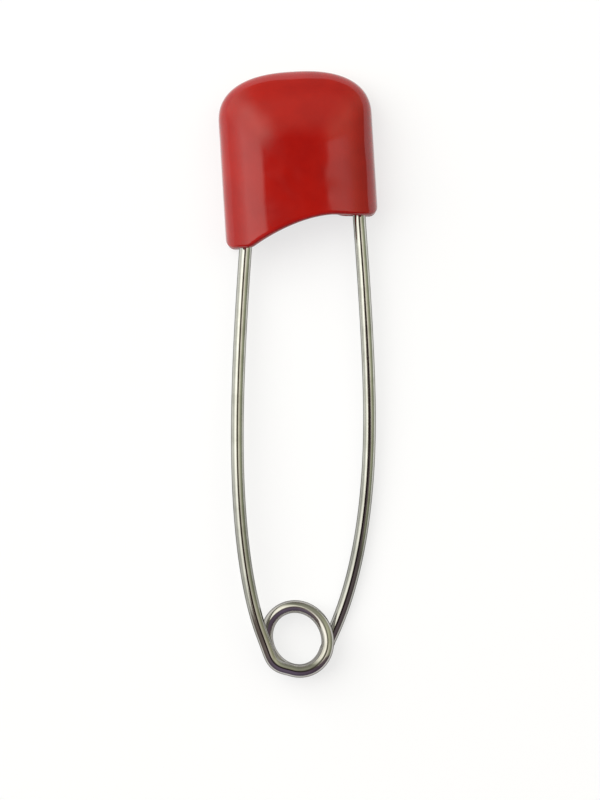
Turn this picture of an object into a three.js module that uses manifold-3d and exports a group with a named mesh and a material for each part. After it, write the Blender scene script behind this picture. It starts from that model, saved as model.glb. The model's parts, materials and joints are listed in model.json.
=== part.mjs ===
// A nappy safety pin lying flat on its back: one wound steel wire, a folded guard and a moulded head.
// Axes: +X to the fixed arm, +Y from the coil to the head, +Z up, out of the head's domed front.
// It is drawn round the coil's axis, in the plane of the wire in the head, and set down at the end.

import * as THREE from 'three';
import { mergeVertices } from 'three/addons/utils/BufferGeometryUtils.js';
import Module from 'manifold-3d';

const wasm = await Module();
wasm.setup();

// Whole pin, in millimetres
const overallLength = 42;
const headTiltDegrees = 3.5;
const headShift = 0.386;

// Wire
const wireDiameter = 0.88;
const wireRadius = wireDiameter / 2;

// Spring coil, with its angles counted round its axis from +X
const coilRadius = 2.14;
const coilOval = 0.115;
const coilOvalDegrees = 114;
const coilStartDegrees = 199;
const coilEndDegrees = 693;
const coilBendDegrees = 60;
const entryStandOff = 0.175;
const entryBulge = 0.14;
const exitDrawIn = 0.06;
const backSpread = 0.1;
const backSpreadFromDegrees = 420;
const backSpreadToDegrees = 655;
const turnClearance = 0.4;
const easedLiftShare = 0.97;

// Arms, as bowed between the coil and the head
const pinBowReach = 4.198;
const pinBowHeight = 14.1;
const spineBowReach = 4.97;
const spineBowHeight = 15.2;
const pinLeanDegrees = 7.7;
const mouthClearance = 0.24;
const pinBowShares = { leaving: 0.05, below: 0.69, above: 0.36, entering: 0.206 };
const spineBowShares = { leaving: 0.05, below: 0.67, above: 0.36, entering: 0.04 };

// Ends of the wire in the head, measured down from the crown
const pointDepth = 3.2;
const pointTaperLength = 5.2;
const pointTipRadius = 0.03;
const pointFullness = 1.7;
const spineEndDepth = 3;

// Moulded head cap
const capWidth = 10.63;
const capFrontRise = 3;
const capBackDrop = 1.4;
const capSideWall = 0.5;
const capFrontWall = 0.7;
const capBackWall = 0.5;
const capCrownWall = 0.8;
const capBackCorner = 0.8;
const crownHeight = 3.35;
const crownFrontHeight = 5.4;
const crownBackHeight = 1.2;
const crownRidgeRise = 0.5;
const crownRoundness = 2.45;
const crownFrontRoundness = 2;
const frontRoundness = 2.8;

// Lower edge of the cap, measured down from the crown and in from its sides
const longSkirt = 12.03;
const shortSkirt = 10.11;
const spineSkirt = 10.31;
const skirtFootWidth = 1.62;
const pinFootCorner = 0.55;
const spineFootCorner = 0.5;
const archPeakInset = 3.03;
const archFootHandle = { acrossShare: 0.315, upShare: 0.57 };
const archPeakHandleShare = 0.315;

// Window in the back of the cap
const windowDepth = 2.5;
const windowPinInset = 1.55;
const windowSpineInset = 3.55;
const windowCorner = 1.1;
const windowPinFootCorner = 0.55;
const windowSpineFootCorner = 1.5;

// Ribs inside the front of the cap, which the guard's web and its top edge bear on
const ribWidth = 0.6;
const ribInset = 3.4;

// Folded guard
const sheetThickness = 0.3;
const sheetClearance = 0.03;
const wireClearance = 0.03;
const guardDepth = 3.3;
const guardRecess = 0.75;
const hookLipReach = 0.75;
const eyeWrapDegrees = 285;

// Fineness of the facets, and how far every cut runs past what it cuts
const wireSides = 12;
const coilSteps = 64;
const armSteps = 32;
const taperSteps = 8;
const crownSteps = 18;
const frontSteps = 30;
const cornerSteps = 6;
const foldSteps = 7;
const edgeSteps = 14;
const fineSteps = 10000;
const overrun = 1;

// Places that follow from the sizes above
const headTilt = THREE.MathUtils.degToRad(headTiltDegrees);
const pinLean = THREE.MathUtils.degToRad(pinLeanDegrees);
const capHalfWidth = capWidth / 2;
const archPeak = capHalfWidth - archPeakInset;
const foldRadius = wireRadius + wireClearance + sheetThickness / 2;
const armOffset = capHalfWidth - capSideWall - sheetClearance - sheetThickness / 2 - foldRadius;
const turnsWound = (coilEndDegrees - coilStartDegrees) / 360;
const coilLift = (wireDiameter + turnClearance) * easedLiftShare * turnsWound;
const coilMiddle = (coilLift + wireDiameter) / 2 - capBackDrop;
const crownRise = overallLength - coilRadius - coilOval - wireRadius;
const crownPlace = new THREE.Vector3(-headShift, crownRise, 0);
const along = new THREE.Vector3(0, 1, 0);
const outOfPlane = new THREE.Vector3(0, 0, 1);
const intoHead = along.clone().applyAxisAngle(outOfPlane, headTilt);
const pinIntoHead = along.clone().applyAxisAngle(outOfPlane, headTilt - pinLean);

// Turns a place in the head, given across it and down from its crown, into the frame of the coil
function headPlace(across, down) {
  return new THREE.Vector3(across, -down, 0).applyAxisAngle(outOfPlane, headTilt).add(crownPlace);
}

// Runs from 0 to 1 and is level at both ends
function ease(share) {
  return share * share * (3 - 2 * share);
}

// A smooth hump over a stretch of the coil, from 0 at both its ends to 1 in its middle
function hump(degrees, fromDegrees, toDegrees) {
  const share = THREE.MathUtils.clamp((degrees - fromDegrees) / (toDegrees - fromDegrees), 0, 1);
  return Math.sin(Math.PI * share) ** 2;
}

// Reach of the wire's centre from the coil's axis: a leaning oval that comes in wide, with a first
// bend that bulges, spreads as it passes behind its start, and leaves drawn in
function coilReach(degrees) {
  const entered = Math.min((degrees - coilStartDegrees) / coilBendDegrees, 1);
  const leaving = Math.min((coilEndDegrees - degrees) / coilBendDegrees, 1);
  const oval = coilOval * Math.cos(2 * THREE.MathUtils.degToRad(degrees - coilOvalDegrees));
  const bulge = entryBulge * hump(degrees, coilStartDegrees, coilStartDegrees + coilBendDegrees);
  const spread = backSpread * hump(degrees, backSpreadFromDegrees, backSpreadToDegrees);
  const standOff = entryStandOff * (1 - ease(entered)) - exitDrawIn * (1 - ease(leaving));
  return coilRadius + oval + bulge + spread + standOff;
}

// Centre line of the coil: counter-clockwise from the front, it sinks to the back as it winds
function coilPoint(share) {
  const degrees = THREE.MathUtils.lerp(coilStartDegrees, coilEndDegrees, share);
  const angle = THREE.MathUtils.degToRad(degrees);
  const reach = coilReach(degrees);
  const sink = coilLift * (0.5 - ease(share));
  return new THREE.Vector3(reach * Math.cos(angle), reach * Math.sin(angle), coilMiddle + sink);
}

// Direction in which the wire winds at either end of the coil, where it runs level
function windingDirection(share) {
  const step = share > 0 ? -1 / fineSteps : 1 / fineSteps;
  const chord = coilPoint(share + step).sub(coilPoint(share)).multiplyScalar(Math.sign(step));
  return chord.setZ(0).normalize();
}

// The coil's ends run straight for one wire diameter, to the faces where the arms join it
const pinWinding = windingDirection(0);
const spineWinding = windingDirection(1);
const pinJoin = coilPoint(0).addScaledVector(pinWinding, -wireDiameter);
const spineJoin = coilPoint(1).addScaledVector(spineWinding, wireDiameter);

// Stations along the coil, each with the wire's centre, direction and radius
function coilStations() {
  const turns = Array.from({ length: coilSteps + 1 }, (_, step) => coilPoint(step / coilSteps));
  const centres = [pinJoin, ...turns, spineJoin];
  return centres.map((centre, index) => {
    let direction = pinWinding;
    if (index >= turns.length) {
      direction = spineWinding;
    } else if (index > 1) {
      direction = centres[index + 1].clone().sub(centres[index - 1]).normalize();
    }
    return { centre, direction, radius: wireRadius };
  });
}

// Stations along an arm, from its join with the coil over its widest point to the mouth of the head
function armStations(join, leaving, widest, mouth, entering, bowShares) {
  const lower = widest.y - join.y;
  const upper = mouth.y - widest.y;
  const start = new THREE.Vector3(join.x, join.y, 0);
  const bow = new THREE.CurvePath();
  bow.add(new THREE.CubicBezierCurve3(
    start,
    start.clone().addScaledVector(leaving, lower * bowShares.leaving),
    widest.clone().addScaledVector(along, -lower * bowShares.below),
    widest,
  ));
  bow.add(new THREE.CubicBezierCurve3(
    widest,
    widest.clone().addScaledVector(along, upper * bowShares.above),
    mouth.clone().addScaledVector(entering, -upper * bowShares.entering),
    mouth,
  ));
  const length = bow.getLength();
  return Array.from({ length: armSteps + 1 }, (_, step) => {
    const share = step / armSteps;
    const centre = bow.getPoint(share);
    centre.z = join.z * (1 - ease(share));
    const direction = step === 0 ? leaving.clone() : bow.getTangent(share);
    direction.z = -join.z * 6 * share * (1 - share) / length;
    return { centre, direction: direction.normalize(), radius: wireRadius };
  });
}

// The sharpened arm: it leans in from the hook and tapers to its point
function pinStations() {
  const widest = new THREE.Vector3(-pinBowReach, pinBowHeight, 0);
  const mouth = headPlace(-armOffset, longSkirt + mouthClearance);
  const leaving = pinWinding.clone().negate();
  const stations = armStations(pinJoin, leaving, widest, mouth, pinIntoHead, pinBowShares);
  const insideLength = (longSkirt + mouthClearance - pointDepth) / Math.cos(pinLean);
  for (let step = 0; step <= taperSteps; step += 1) {
    const share = step / taperSteps;
    const run = insideLength - pointTaperLength * (1 - share);
    stations.push({
      centre: mouth.clone().addScaledVector(pinIntoHead, run),
      direction: pinIntoHead,
      radius: THREE.MathUtils.lerp(wireRadius, pointTipRadius, share ** pointFullness),
    });
  }
  return stations;
}

// The fixed arm: it runs in line with the head, through the guard's eye
function spineStations() {
  const widest = new THREE.Vector3(spineBowReach, spineBowHeight, 0);
  const mouth = headPlace(armOffset, spineSkirt + mouthClearance);
  const stations = armStations(spineJoin, spineWinding, widest, mouth, intoHead, spineBowShares);
  stations.push({
    centre: headPlace(armOffset, spineEndDepth),
    direction: intoHead,
    radius: wireRadius,
  });
  return stations;
}

// Closed round wire through its stations, with a flat face at each end
function wireGeometry(stations) {
  const positions = [];
  for (const { centre, direction, radius } of stations) {
    const side = new THREE.Vector3().crossVectors(direction, outOfPlane).normalize();
    const rise = new THREE.Vector3().crossVectors(side, direction);
    for (let corner = 0; corner < wireSides; corner += 1) {
      const angle = 2 * Math.PI * corner / wireSides;
      const point = centre.clone().addScaledVector(side, radius * Math.cos(angle));
      positions.push(...point.addScaledVector(rise, radius * Math.sin(angle)));
    }
  }
  const last = stations.length - 1;
  positions.push(...stations[0].centre, ...stations[last].centre);
  const firstHub = stations.length * wireSides;
  const index = [];
  for (let corner = 0; corner < wireSides; corner += 1) {
    const next = (corner + 1) % wireSides;
    for (let ring = 0; ring < last; ring += 1) {
      const near = ring * wireSides;
      const far = near + wireSides;
      index.push(near + corner, far + corner, near + next);
      index.push(near + next, far + corner, far + next);
    }
    index.push(firstHub, corner, next);
    index.push(firstHub + 1, last * wireSides + next, last * wireSides + corner);
  }
  const geometry = new THREE.BufferGeometry();
  geometry.setAttribute('position', new THREE.Float32BufferAttribute(positions, 3));
  geometry.setIndex(index);
  return geometry;
}

// Least gap between stretches of one wire that lie at least half a turn apart along it
function leastGap(stations) {
  const apart = Math.round(coilSteps / turnsWound / 2);
  let gap = Infinity;
  stations.forEach((station, index) => {
    for (const other of stations.slice(index + apart)) {
      gap = Math.min(gap, station.centre.distanceTo(other.centre) - wireDiameter);
    }
  });
  return gap;
}

// Turns a closed geometry into a solid that can be cut, and back
function toSolid(geometry) {
  const bare = new THREE.BufferGeometry();
  bare.setAttribute('position', geometry.getAttribute('position'));
  bare.setIndex(geometry.getIndex());
  const merged = mergeVertices(bare);
  return new wasm.Manifold(new wasm.Mesh({
    numProp: 3,
    vertProperties: merged.getAttribute('position').array,
    triVerts: new Uint32Array(merged.getIndex().array),
  }));
}

function toGeometry(solid) {
  const mesh = solid.getMesh();
  const geometry = new THREE.BufferGeometry();
  geometry.setAttribute('position', new THREE.BufferAttribute(mesh.vertProperties, 3));
  geometry.setIndex(new THREE.BufferAttribute(mesh.triVerts, 1));
  return geometry;
}

// One skin of the cap, the outer one or, drawn in by the walls, the inner one
function capSkin(inward) {
  const crown = inward ? capCrownWall : 0;
  return {
    top: crown,
    halfWidth: capHalfWidth - (inward ? capSideWall : 0),
    front: capFrontRise - (inward ? capFrontWall : 0),
    back: capBackDrop - (inward ? capBackWall : 0),
    corner: capBackCorner - (inward ? capBackWall : 0),
    sideHeight: crownHeight - crown,
    frontHeight: crownFrontHeight - crown,
    backHeight: crownBackHeight - crown / 2,
    bottom: longSkirt + (inward ? overrun : 0),
  };
}

// Section across the head: a bowed front over a flat back with round corners, counter-clockwise
function capSection(skin) {
  const section = [];
  for (let step = 0; step <= frontSteps; step += 1) {
    const angle = Math.PI * step / frontSteps;
    const across = Math.sign(Math.cos(angle)) * Math.abs(Math.cos(angle)) ** (2 / frontRoundness);
    const out = Math.sin(angle) ** (2 / frontRoundness);
    section.push(new THREE.Vector2(skin.halfWidth * across, skin.front * out));
  }
  for (const side of [-1, 1]) {
    for (let step = 0; step <= cornerSteps; step += 1) {
      const angle = Math.PI / 2 * (side < 0 ? step : cornerSteps - step) / cornerSteps;
      const across = side * (skin.halfWidth - skin.corner * (1 - Math.cos(angle)));
      const out = -skin.back + skin.corner * (1 - Math.sin(angle));
      section.push(new THREE.Vector2(across, out));
    }
  }
  return section;
}

// How far a rounded edge of the given height has opened at a depth below its top, from 0 to 1
function opened(depth, height, roundness) {
  const rest = Math.max(1 - depth / height, 0);
  return (1 - rest ** roundness) ** (1 / roundness);
}

// Closed solid inside one skin, from the pole of the crown to a flat bottom
function capSolid(skin) {
  const section = capSection(skin);
  const domeHeight = Math.max(skin.sideHeight, skin.frontHeight);
  const depths = Array.from({ length: crownSteps }, (_, step) => (
    domeHeight * (1 - Math.cos(Math.PI / 2 * (step + 1) / crownSteps))
  ));
  depths.push(skin.bottom - skin.top);
  const positions = [0, -skin.top, crownRidgeRise];
  for (const depth of depths) {
    for (const place of section) {
      const rise = place.y - crownRidgeRise;
      const across = place.x * opened(depth, skin.sideHeight, crownRoundness);
      const risen = rise > 0
        ? opened(depth, skin.frontHeight, crownFrontRoundness)
        : opened(depth, skin.backHeight, crownRoundness);
      positions.push(across, -skin.top - depth, crownRidgeRise + rise * risen);
    }
  }
  positions.push(0, -skin.bottom, 0);
  const count = section.length;
  const lastRing = 1 + (depths.length - 1) * count;
  const index = [];
  for (let corner = 0; corner < count; corner += 1) {
    const next = (corner + 1) % count;
    index.push(0, 1 + next, 1 + corner);
    for (let ring = 1; ring < lastRing; ring += count) {
      index.push(ring + corner, ring + next, ring + count + corner);
      index.push(ring + next, ring + count + next, ring + count + corner);
    }
    index.push(lastRing + corner, lastRing + next, lastRing + count);
  }
  const geometry = new THREE.BufferGeometry();
  geometry.setAttribute('position', new THREE.Float32BufferAttribute(positions, 3));
  geometry.setIndex(index);
  return toSolid(geometry);
}

// Depth of the lower edge between the top of its arch and its corner on the fixed arm's side
function spineEdgeDepth(across) {
  const corner = capHalfWidth - spineFootCorner;
  return THREE.MathUtils.mapLinear(across, archPeak, corner, shortSkirt, spineSkirt);
}

// Everything below the lower edge of the cap, moved up by a recess
function belowSkirt(recess) {
  const foot = -capHalfWidth + skirtFootWidth;
  const arch = { across: archPeak - foot, up: longSkirt - shortSkirt };
  const shape = new THREE.Shape();
  shape.moveTo(-capHalfWidth - overrun, -longSkirt - overrun);
  shape.lineTo(-capHalfWidth - overrun, -longSkirt + pinFootCorner);
  shape.lineTo(-capHalfWidth, -longSkirt + pinFootCorner);
  shape.quadraticCurveTo(-capHalfWidth, -longSkirt, -capHalfWidth + pinFootCorner, -longSkirt);
  shape.lineTo(foot, -longSkirt);
  shape.bezierCurveTo(
    foot + arch.across * archFootHandle.acrossShare,
    -longSkirt + arch.up * archFootHandle.upShare,
    archPeak - arch.across * archPeakHandleShare,
    -shortSkirt,
    archPeak,
    -shortSkirt,
  );
  shape.lineTo(capHalfWidth - spineFootCorner, -spineSkirt);
  shape.quadraticCurveTo(capHalfWidth, -spineSkirt, capHalfWidth, -spineSkirt + spineFootCorner);
  shape.lineTo(capHalfWidth + overrun, -spineSkirt + spineFootCorner);
  shape.lineTo(capHalfWidth + overrun, -longSkirt - overrun);
  const depth = capFrontRise + capBackDrop + 2 * overrun;
  const geometry = new THREE.ExtrudeGeometry(shape, {
    depth,
    bevelEnabled: false,
    curveSegments: edgeSteps,
  });
  geometry.translate(0, recess, -capBackDrop - overrun);
  return toSolid(geometry);
}

// The window in the back, through which the point is lifted out of the hook
function backWindow() {
  const pinSide = -capHalfWidth + windowPinInset;
  const spineSide = capHalfWidth - windowSpineInset;
  const pinFoot = pinSide - windowPinFootCorner;
  const spineFoot = spineSide + windowSpineFootCorner;
  const spineFootDepth = spineEdgeDepth(spineFoot);
  const shape = new THREE.Shape();
  shape.moveTo(pinSide, -longSkirt + windowPinFootCorner);
  shape.quadraticCurveTo(pinSide, -longSkirt, pinFoot, -longSkirt);
  shape.lineTo(pinFoot, -longSkirt - overrun);
  shape.lineTo(spineFoot, -longSkirt - overrun);
  shape.lineTo(spineFoot, -spineFootDepth);
  shape.quadraticCurveTo(
    spineSide,
    -spineEdgeDepth(spineSide),
    spineSide,
    -spineFootDepth + windowSpineFootCorner,
  );
  shape.lineTo(spineSide, -windowDepth - windowCorner);
  shape.absarc(spineSide - windowCorner, -windowDepth - windowCorner, windowCorner, 0, Math.PI / 2);
  shape.absarc(pinSide + windowCorner, -windowDepth - windowCorner, windowCorner, Math.PI / 2, Math.PI);
  const geometry = new THREE.ExtrudeGeometry(shape, {
    depth: overrun + capBackWall + sheetClearance,
    bevelEnabled: false,
    curveSegments: cornerSteps,
  });
  geometry.translate(0, 0, -capBackDrop - overrun);
  return toSolid(geometry);
}

// A rib down the inside of the cap's front, with a shoulder over the guard's top edge
function rib(across) {
  const web = foldRadius + sheetThickness / 2 + sheetClearance;
  const shoulder = foldRadius - sheetThickness / 2;
  const stop = guardDepth - sheetClearance;
  const shape = new THREE.Shape();
  shape.moveTo(capFrontRise, -longSkirt);
  shape.lineTo(capFrontRise, 0);
  shape.lineTo(shoulder, 0);
  shape.lineTo(shoulder, -stop);
  shape.lineTo(web, -stop);
  shape.lineTo(web, -longSkirt);
  const geometry = new THREE.ExtrudeGeometry(shape, { depth: ribWidth, bevelEnabled: false });
  geometry.rotateY(-Math.PI / 2);
  geometry.translate(across + ribWidth / 2, 0, 0);
  return toSolid(geometry);
}

// The moulded cap: a shell with two ribs, trimmed along its skirt and open at the back
function capGeometry() {
  const outside = capSolid(capSkin(false));
  const place = capHalfWidth - ribInset;
  const ribs = rib(-place).add(rib(place)).intersect(outside).subtract(belowSkirt(guardRecess));
  const shell = outside.subtract(capSolid(capSkin(true))).subtract(belowSkirt(0));
  return toGeometry(shell.subtract(backWindow()).add(ribs));
}

// The guard: one sheet, folded to an open hook round the pin arm and rolled to an eye round the other
function guardGeometry() {
  const outer = foldRadius + sheetThickness / 2;
  const inner = foldRadius - sheetThickness / 2;
  const eyeEnd = Math.PI / 2 - THREE.MathUtils.degToRad(eyeWrapDegrees);
  const quarter = Math.PI / 2;
  const shape = new THREE.Shape();
  shape.moveTo(-armOffset + hookLipReach, -outer);
  shape.lineTo(-armOffset, -outer);
  shape.absarc(-armOffset, 0, outer, -quarter, quarter, true);
  shape.lineTo(armOffset, outer);
  shape.absarc(armOffset, 0, outer, quarter, eyeEnd, true);
  shape.lineTo(armOffset + inner * Math.cos(eyeEnd), inner * Math.sin(eyeEnd));
  shape.absarc(armOffset, 0, inner, eyeEnd, quarter, false);
  shape.lineTo(-armOffset, inner);
  shape.absarc(-armOffset, 0, inner, quarter, -quarter, false);
  shape.lineTo(-armOffset + hookLipReach, -inner);
  const geometry = new THREE.ExtrudeGeometry(shape, {
    depth: longSkirt - guardDepth,
    bevelEnabled: false,
    curveSegments: foldSteps,
  });
  geometry.rotateX(quarter);
  geometry.translate(0, -guardDepth, 0);
  return toGeometry(toSolid(geometry).subtract(belowSkirt(guardRecess)));
}

// Finishes
const redPlastic = new THREE.MeshStandardMaterial({ color: '#a81a16', roughness: 0.25, metalness: 0 });
const nickelWire = new THREE.MeshStandardMaterial({ color: '#c9c6bd', roughness: 0.18, metalness: 1 });
const nickelSheet = new THREE.MeshStandardMaterial({ color: '#bfbdb6', roughness: 0.32, metalness: 1 });

// One named piece, with its own copy of a finish
function piece(name, geometry, finish) {
  const mesh = new THREE.Mesh(geometry, finish.clone());
  mesh.name = name;
  return mesh;
}

const windings = coilStations();
console.log(`Least gap of the spring coil to itself: ${leastGap(windings).toFixed(3)} mm`);

const head = new THREE.Group();
head.position.copy(crownPlace);
head.rotation.z = headTilt;
head.add(piece('head_cap', capGeometry(), redPlastic));
head.add(piece('clasp_guard', guardGeometry(), nickelSheet));

const pin = new THREE.Group();
pin.add(head);
pin.add(piece('spine_arm', wireGeometry(spineStations()), nickelWire));
pin.add(piece('spring_coil', wireGeometry(windings), nickelWire));
pin.add(piece('pin_arm', wireGeometry(pinStations()), nickelWire));

// Sets the pin down: its origin is the middle of its box, on the surface that it lies on
const box = new THREE.Box3().setFromObject(pin, true);
const middle = box.getCenter(new THREE.Vector3());
pin.position.set(-middle.x, -middle.y, -box.min.z);

export default pin;
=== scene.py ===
"""A nappy safety pin with a moulded head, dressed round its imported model.

The pin lies on its back: +X is towards the fixed arm, +Y runs from the coil to the head and +Z comes
out of the head's domed front. Sizes in the classes are in millimetres, and become metres where a mesh,
a light or the camera is made. A place in the head is given across it, down from its crown and out of
its front, all from the middle plane of the wire.
"""

import json
import logging
import math
from dataclasses import dataclass
from enum import Enum
from typing import Any

import bpy
import numpy as np
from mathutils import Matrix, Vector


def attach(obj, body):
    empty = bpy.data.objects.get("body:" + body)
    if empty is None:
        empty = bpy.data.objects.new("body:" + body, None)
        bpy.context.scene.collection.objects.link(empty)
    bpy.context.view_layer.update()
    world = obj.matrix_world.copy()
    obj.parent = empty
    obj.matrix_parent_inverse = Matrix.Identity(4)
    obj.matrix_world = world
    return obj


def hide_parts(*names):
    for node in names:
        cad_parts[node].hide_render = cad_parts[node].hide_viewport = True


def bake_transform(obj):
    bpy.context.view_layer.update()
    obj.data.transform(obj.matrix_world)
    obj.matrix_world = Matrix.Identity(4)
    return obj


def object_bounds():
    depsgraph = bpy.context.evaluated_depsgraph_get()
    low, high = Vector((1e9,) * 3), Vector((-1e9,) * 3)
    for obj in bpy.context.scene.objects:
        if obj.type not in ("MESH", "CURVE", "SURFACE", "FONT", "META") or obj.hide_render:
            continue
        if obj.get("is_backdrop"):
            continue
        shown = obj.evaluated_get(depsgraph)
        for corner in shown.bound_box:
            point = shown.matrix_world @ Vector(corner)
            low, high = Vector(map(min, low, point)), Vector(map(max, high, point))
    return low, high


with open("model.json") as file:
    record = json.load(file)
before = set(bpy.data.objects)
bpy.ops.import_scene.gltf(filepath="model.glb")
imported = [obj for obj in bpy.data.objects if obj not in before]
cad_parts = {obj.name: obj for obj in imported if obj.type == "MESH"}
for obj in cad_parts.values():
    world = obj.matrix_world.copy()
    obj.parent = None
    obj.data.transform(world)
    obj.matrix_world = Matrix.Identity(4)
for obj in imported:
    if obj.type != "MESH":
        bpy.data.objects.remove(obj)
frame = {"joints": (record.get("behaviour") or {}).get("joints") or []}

LOG = logging.getLogger("nappy_pin")
MM = 0.001
FULL_TURN = 360.0
# A noise seldom leaves this span.
NOISE_SPAN = (0.3, 0.7)
# Strength of the finer layers in a noise for worn metal or paper.
FINE_LAYERS = 0.6
# Places or angles, each with the sRGB hex colour there.
Stops = tuple[tuple[float, str], ...]


class Body(Enum):
    """The two bodies that the pin's pieces ride on."""

    FRAME = "frame"
    PIN = "pin"


class Slot(Enum):
    """Material slots of the record."""

    PLASTIC = "moulded_red_plastic"
    WIRE = "nickel_plated_wire"
    SHEET = "nickel_plated_sheet"


# Numbers and curves

def ease(share: np.ndarray) -> np.ndarray:
    """Runs from 0 to 1 and is level at both ends: three times the square less twice the cube."""
    return share * share * (3.0 - 2.0 * share)


def bezier(corners: np.ndarray, count: int) -> np.ndarray:
    """Points of a cubic curve, each the four corners weighted by the cubic Bernstein terms.

    Args:
        corners: The curve's four control points, one a row.
        count: How many points to work out, evenly in the curve's own parameter.

    Returns:
        One point a row.
    """
    t = np.linspace(0.0, 1.0, count)[:, None]
    weights = ((1 - t) ** 3, 3 * t * (1 - t) ** 2, 3 * t * t * (1 - t), t ** 3)
    return sum(weight * corner for weight, corner in zip(weights, corners))


def run_lengths(points: np.ndarray) -> np.ndarray:
    """Length along a polyline from its first point to each of its points."""
    steps = np.linalg.norm(np.diff(points, axis=0), axis=1)
    return np.concatenate([[0.0], np.cumsum(steps)])


def at_lengths(points: np.ndarray, places: np.ndarray) -> np.ndarray:
    """Points at given lengths along a polyline, between its points by proportion.

    Args:
        points: The polyline, one point a row.
        places: Lengths along it from its first point.

    Returns:
        One point a row for each length.
    """
    runs = run_lengths(points)
    return np.stack([np.interp(places, runs, column) for column in points.T], axis=1)


def corner_curve(
    start: tuple[float, float],
    corner: tuple[float, float],
    end: tuple[float, float],
    count: int,
) -> np.ndarray:
    """Points of a corner's round: a quadratic curve from its start to its end, drawn to the corner.

    Args:
        start: Where the round begins.
        corner: The corner that it rounds.
        end: Where the round ends.
        count: How many points.

    Returns:
        One point a row.
    """
    t = np.linspace(0.0, 1.0, count)[:, None]
    return (1 - t) ** 2 * np.array(start) + 2 * t * (1 - t) * np.array(corner) + t * t * np.array(end)


def hump(values: np.ndarray, start: float, end: float) -> np.ndarray:
    """Squared sine over a stretch: 0 at both its ends and past them, and 1 in its middle."""
    return np.sin(np.pi * np.clip((values - start) / (end - start), 0.0, 1.0)) ** 2


def arc(centre: tuple[float, float], radius: float, start: float, end: float, count: int) -> np.ndarray:
    """Points round part of a circle.

    Args:
        centre: Its centre.
        radius: Its radius.
        start: Angle of the first point, in degrees.
        end: Angle of the last point, in degrees.
        count: How many points.

    Returns:
        One point a row.
    """
    angle = np.radians(np.linspace(start, end, count))
    return np.stack([centre[0] + radius * np.cos(angle), centre[1] + radius * np.sin(angle)], axis=1)


def quarter(steps: int) -> np.ndarray:
    """Angles from 0 to a quarter turn, in radians, in even steps."""
    return np.radians(np.linspace(0.0, 90.0, steps + 1))


def smoothed_loop(values: np.ndarray, width: int) -> np.ndarray:
    """Running mean of a closed loop's even samples, which rounds its corners.

    Args:
        values: One sample a row.
        width: How many samples the mean takes in, an odd number.

    Returns:
        The loop, with as many samples.
    """
    half = width // 2
    wrapped = np.concatenate([values[-half:], values, values[:half]])
    sums = np.cumsum(np.concatenate([np.zeros_like(wrapped[:1]), wrapped]), axis=0)
    return (sums[width:] - sums[:-width]) / width


# Meshes

def surface_mesh(
    name: str,
    rings: np.ndarray,
    poles: np.ndarray,
    uv: tuple[np.ndarray, np.ndarray] | None = None,
) -> bpy.types.Object:
    """Makes a closed surface from a grid of rings, drawn together to a pole at either end.

    Point (k, j) of the grid joins its neighbours (k + 1, j) and (k, j + 1), and the last column joins
    the first. The faces are turned outwards by the sign of the volume that they enclose.

    Args:
        name: The object's name.
        rings: Ring, column and coordinate, in millimetres.
        poles: The points that close the first and the last ring, one a row.
        uv: Place along the surface for each ring, and round it for each column and the seam's far side.

    Returns:
        The object, smooth shaded, with its place in its mesh.
    """
    ring_count, columns = rings.shape[:2]
    points = np.concatenate([rings.reshape(-1, 3), poles])
    ring, column = np.meshgrid(np.arange(ring_count - 1), np.arange(columns), indexing="ij")
    quad_rings = np.stack([ring, ring, ring + 1, ring + 1], axis=-1).reshape(-1, 4)
    quad_columns = np.stack([column, column + 1, column + 1, column], axis=-1).reshape(-1, 4)
    quads = quad_rings * columns + quad_columns % columns
    near = np.arange(columns)
    far = (near + 1) % columns
    last = (ring_count - 1) * columns
    start = np.stack([np.full(columns, len(points) - 2), far, near], axis=1)
    end = np.stack([np.full(columns, len(points) - 1), last + near, last + far], axis=1)
    halves = np.concatenate([start, end, quads[:, [0, 1, 2]], quads[:, [0, 2, 3]]])
    corners = points[halves]
    volume = np.einsum("ij,ij->i", corners[:, 0], np.cross(corners[:, 1], corners[:, 2])).sum()
    faces = [quads, start, end]
    maps = []
    if uv is not None:
        along, around = uv
        middle = (around[:-1] + around[1:]) / 2
        first_map = np.stack([middle, around[1:], around[:-1]], axis=1)
        last_map = np.stack([middle, around[:-1], around[1:]], axis=1)
        maps = [
            np.stack([along[quad_rings], around[quad_columns]], axis=-1),
            np.stack([np.full_like(first_map, along[0]), first_map], axis=-1),
            np.stack([np.full_like(last_map, along[-1]), last_map], axis=-1),
        ]
    if volume < 0:
        faces = [face[:, ::-1] for face in faces]
        maps = [corner_map[:, ::-1] for corner_map in maps]
    loops = np.concatenate([face.ravel() for face in faces])
    sizes = np.concatenate([np.full(len(face), face.shape[1]) for face in faces])
    mesh = bpy.data.meshes.new(name)
    mesh.vertices.add(len(points))
    mesh.vertices.foreach_set("co", (points * MM).ravel())
    mesh.loops.add(len(loops))
    mesh.loops.foreach_set("vertex_index", loops)
    mesh.polygons.add(len(sizes))
    mesh.polygons.foreach_set("loop_start", np.concatenate([[0], np.cumsum(sizes)[:-1]]))
    mesh.polygons.foreach_set("use_smooth", np.ones(len(sizes), dtype=bool))
    if maps:
        layer = mesh.uv_layers.new(name="surface")
        layer.data.foreach_set("uv", np.concatenate([one.ravel() for one in maps]).astype(np.float32))
    mesh.update(calc_edges=True)
    mesh.validate()
    piece = bpy.data.objects.new(name, mesh)
    bpy.context.scene.collection.objects.link(piece)
    return piece


# Shader nodes and colours

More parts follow.
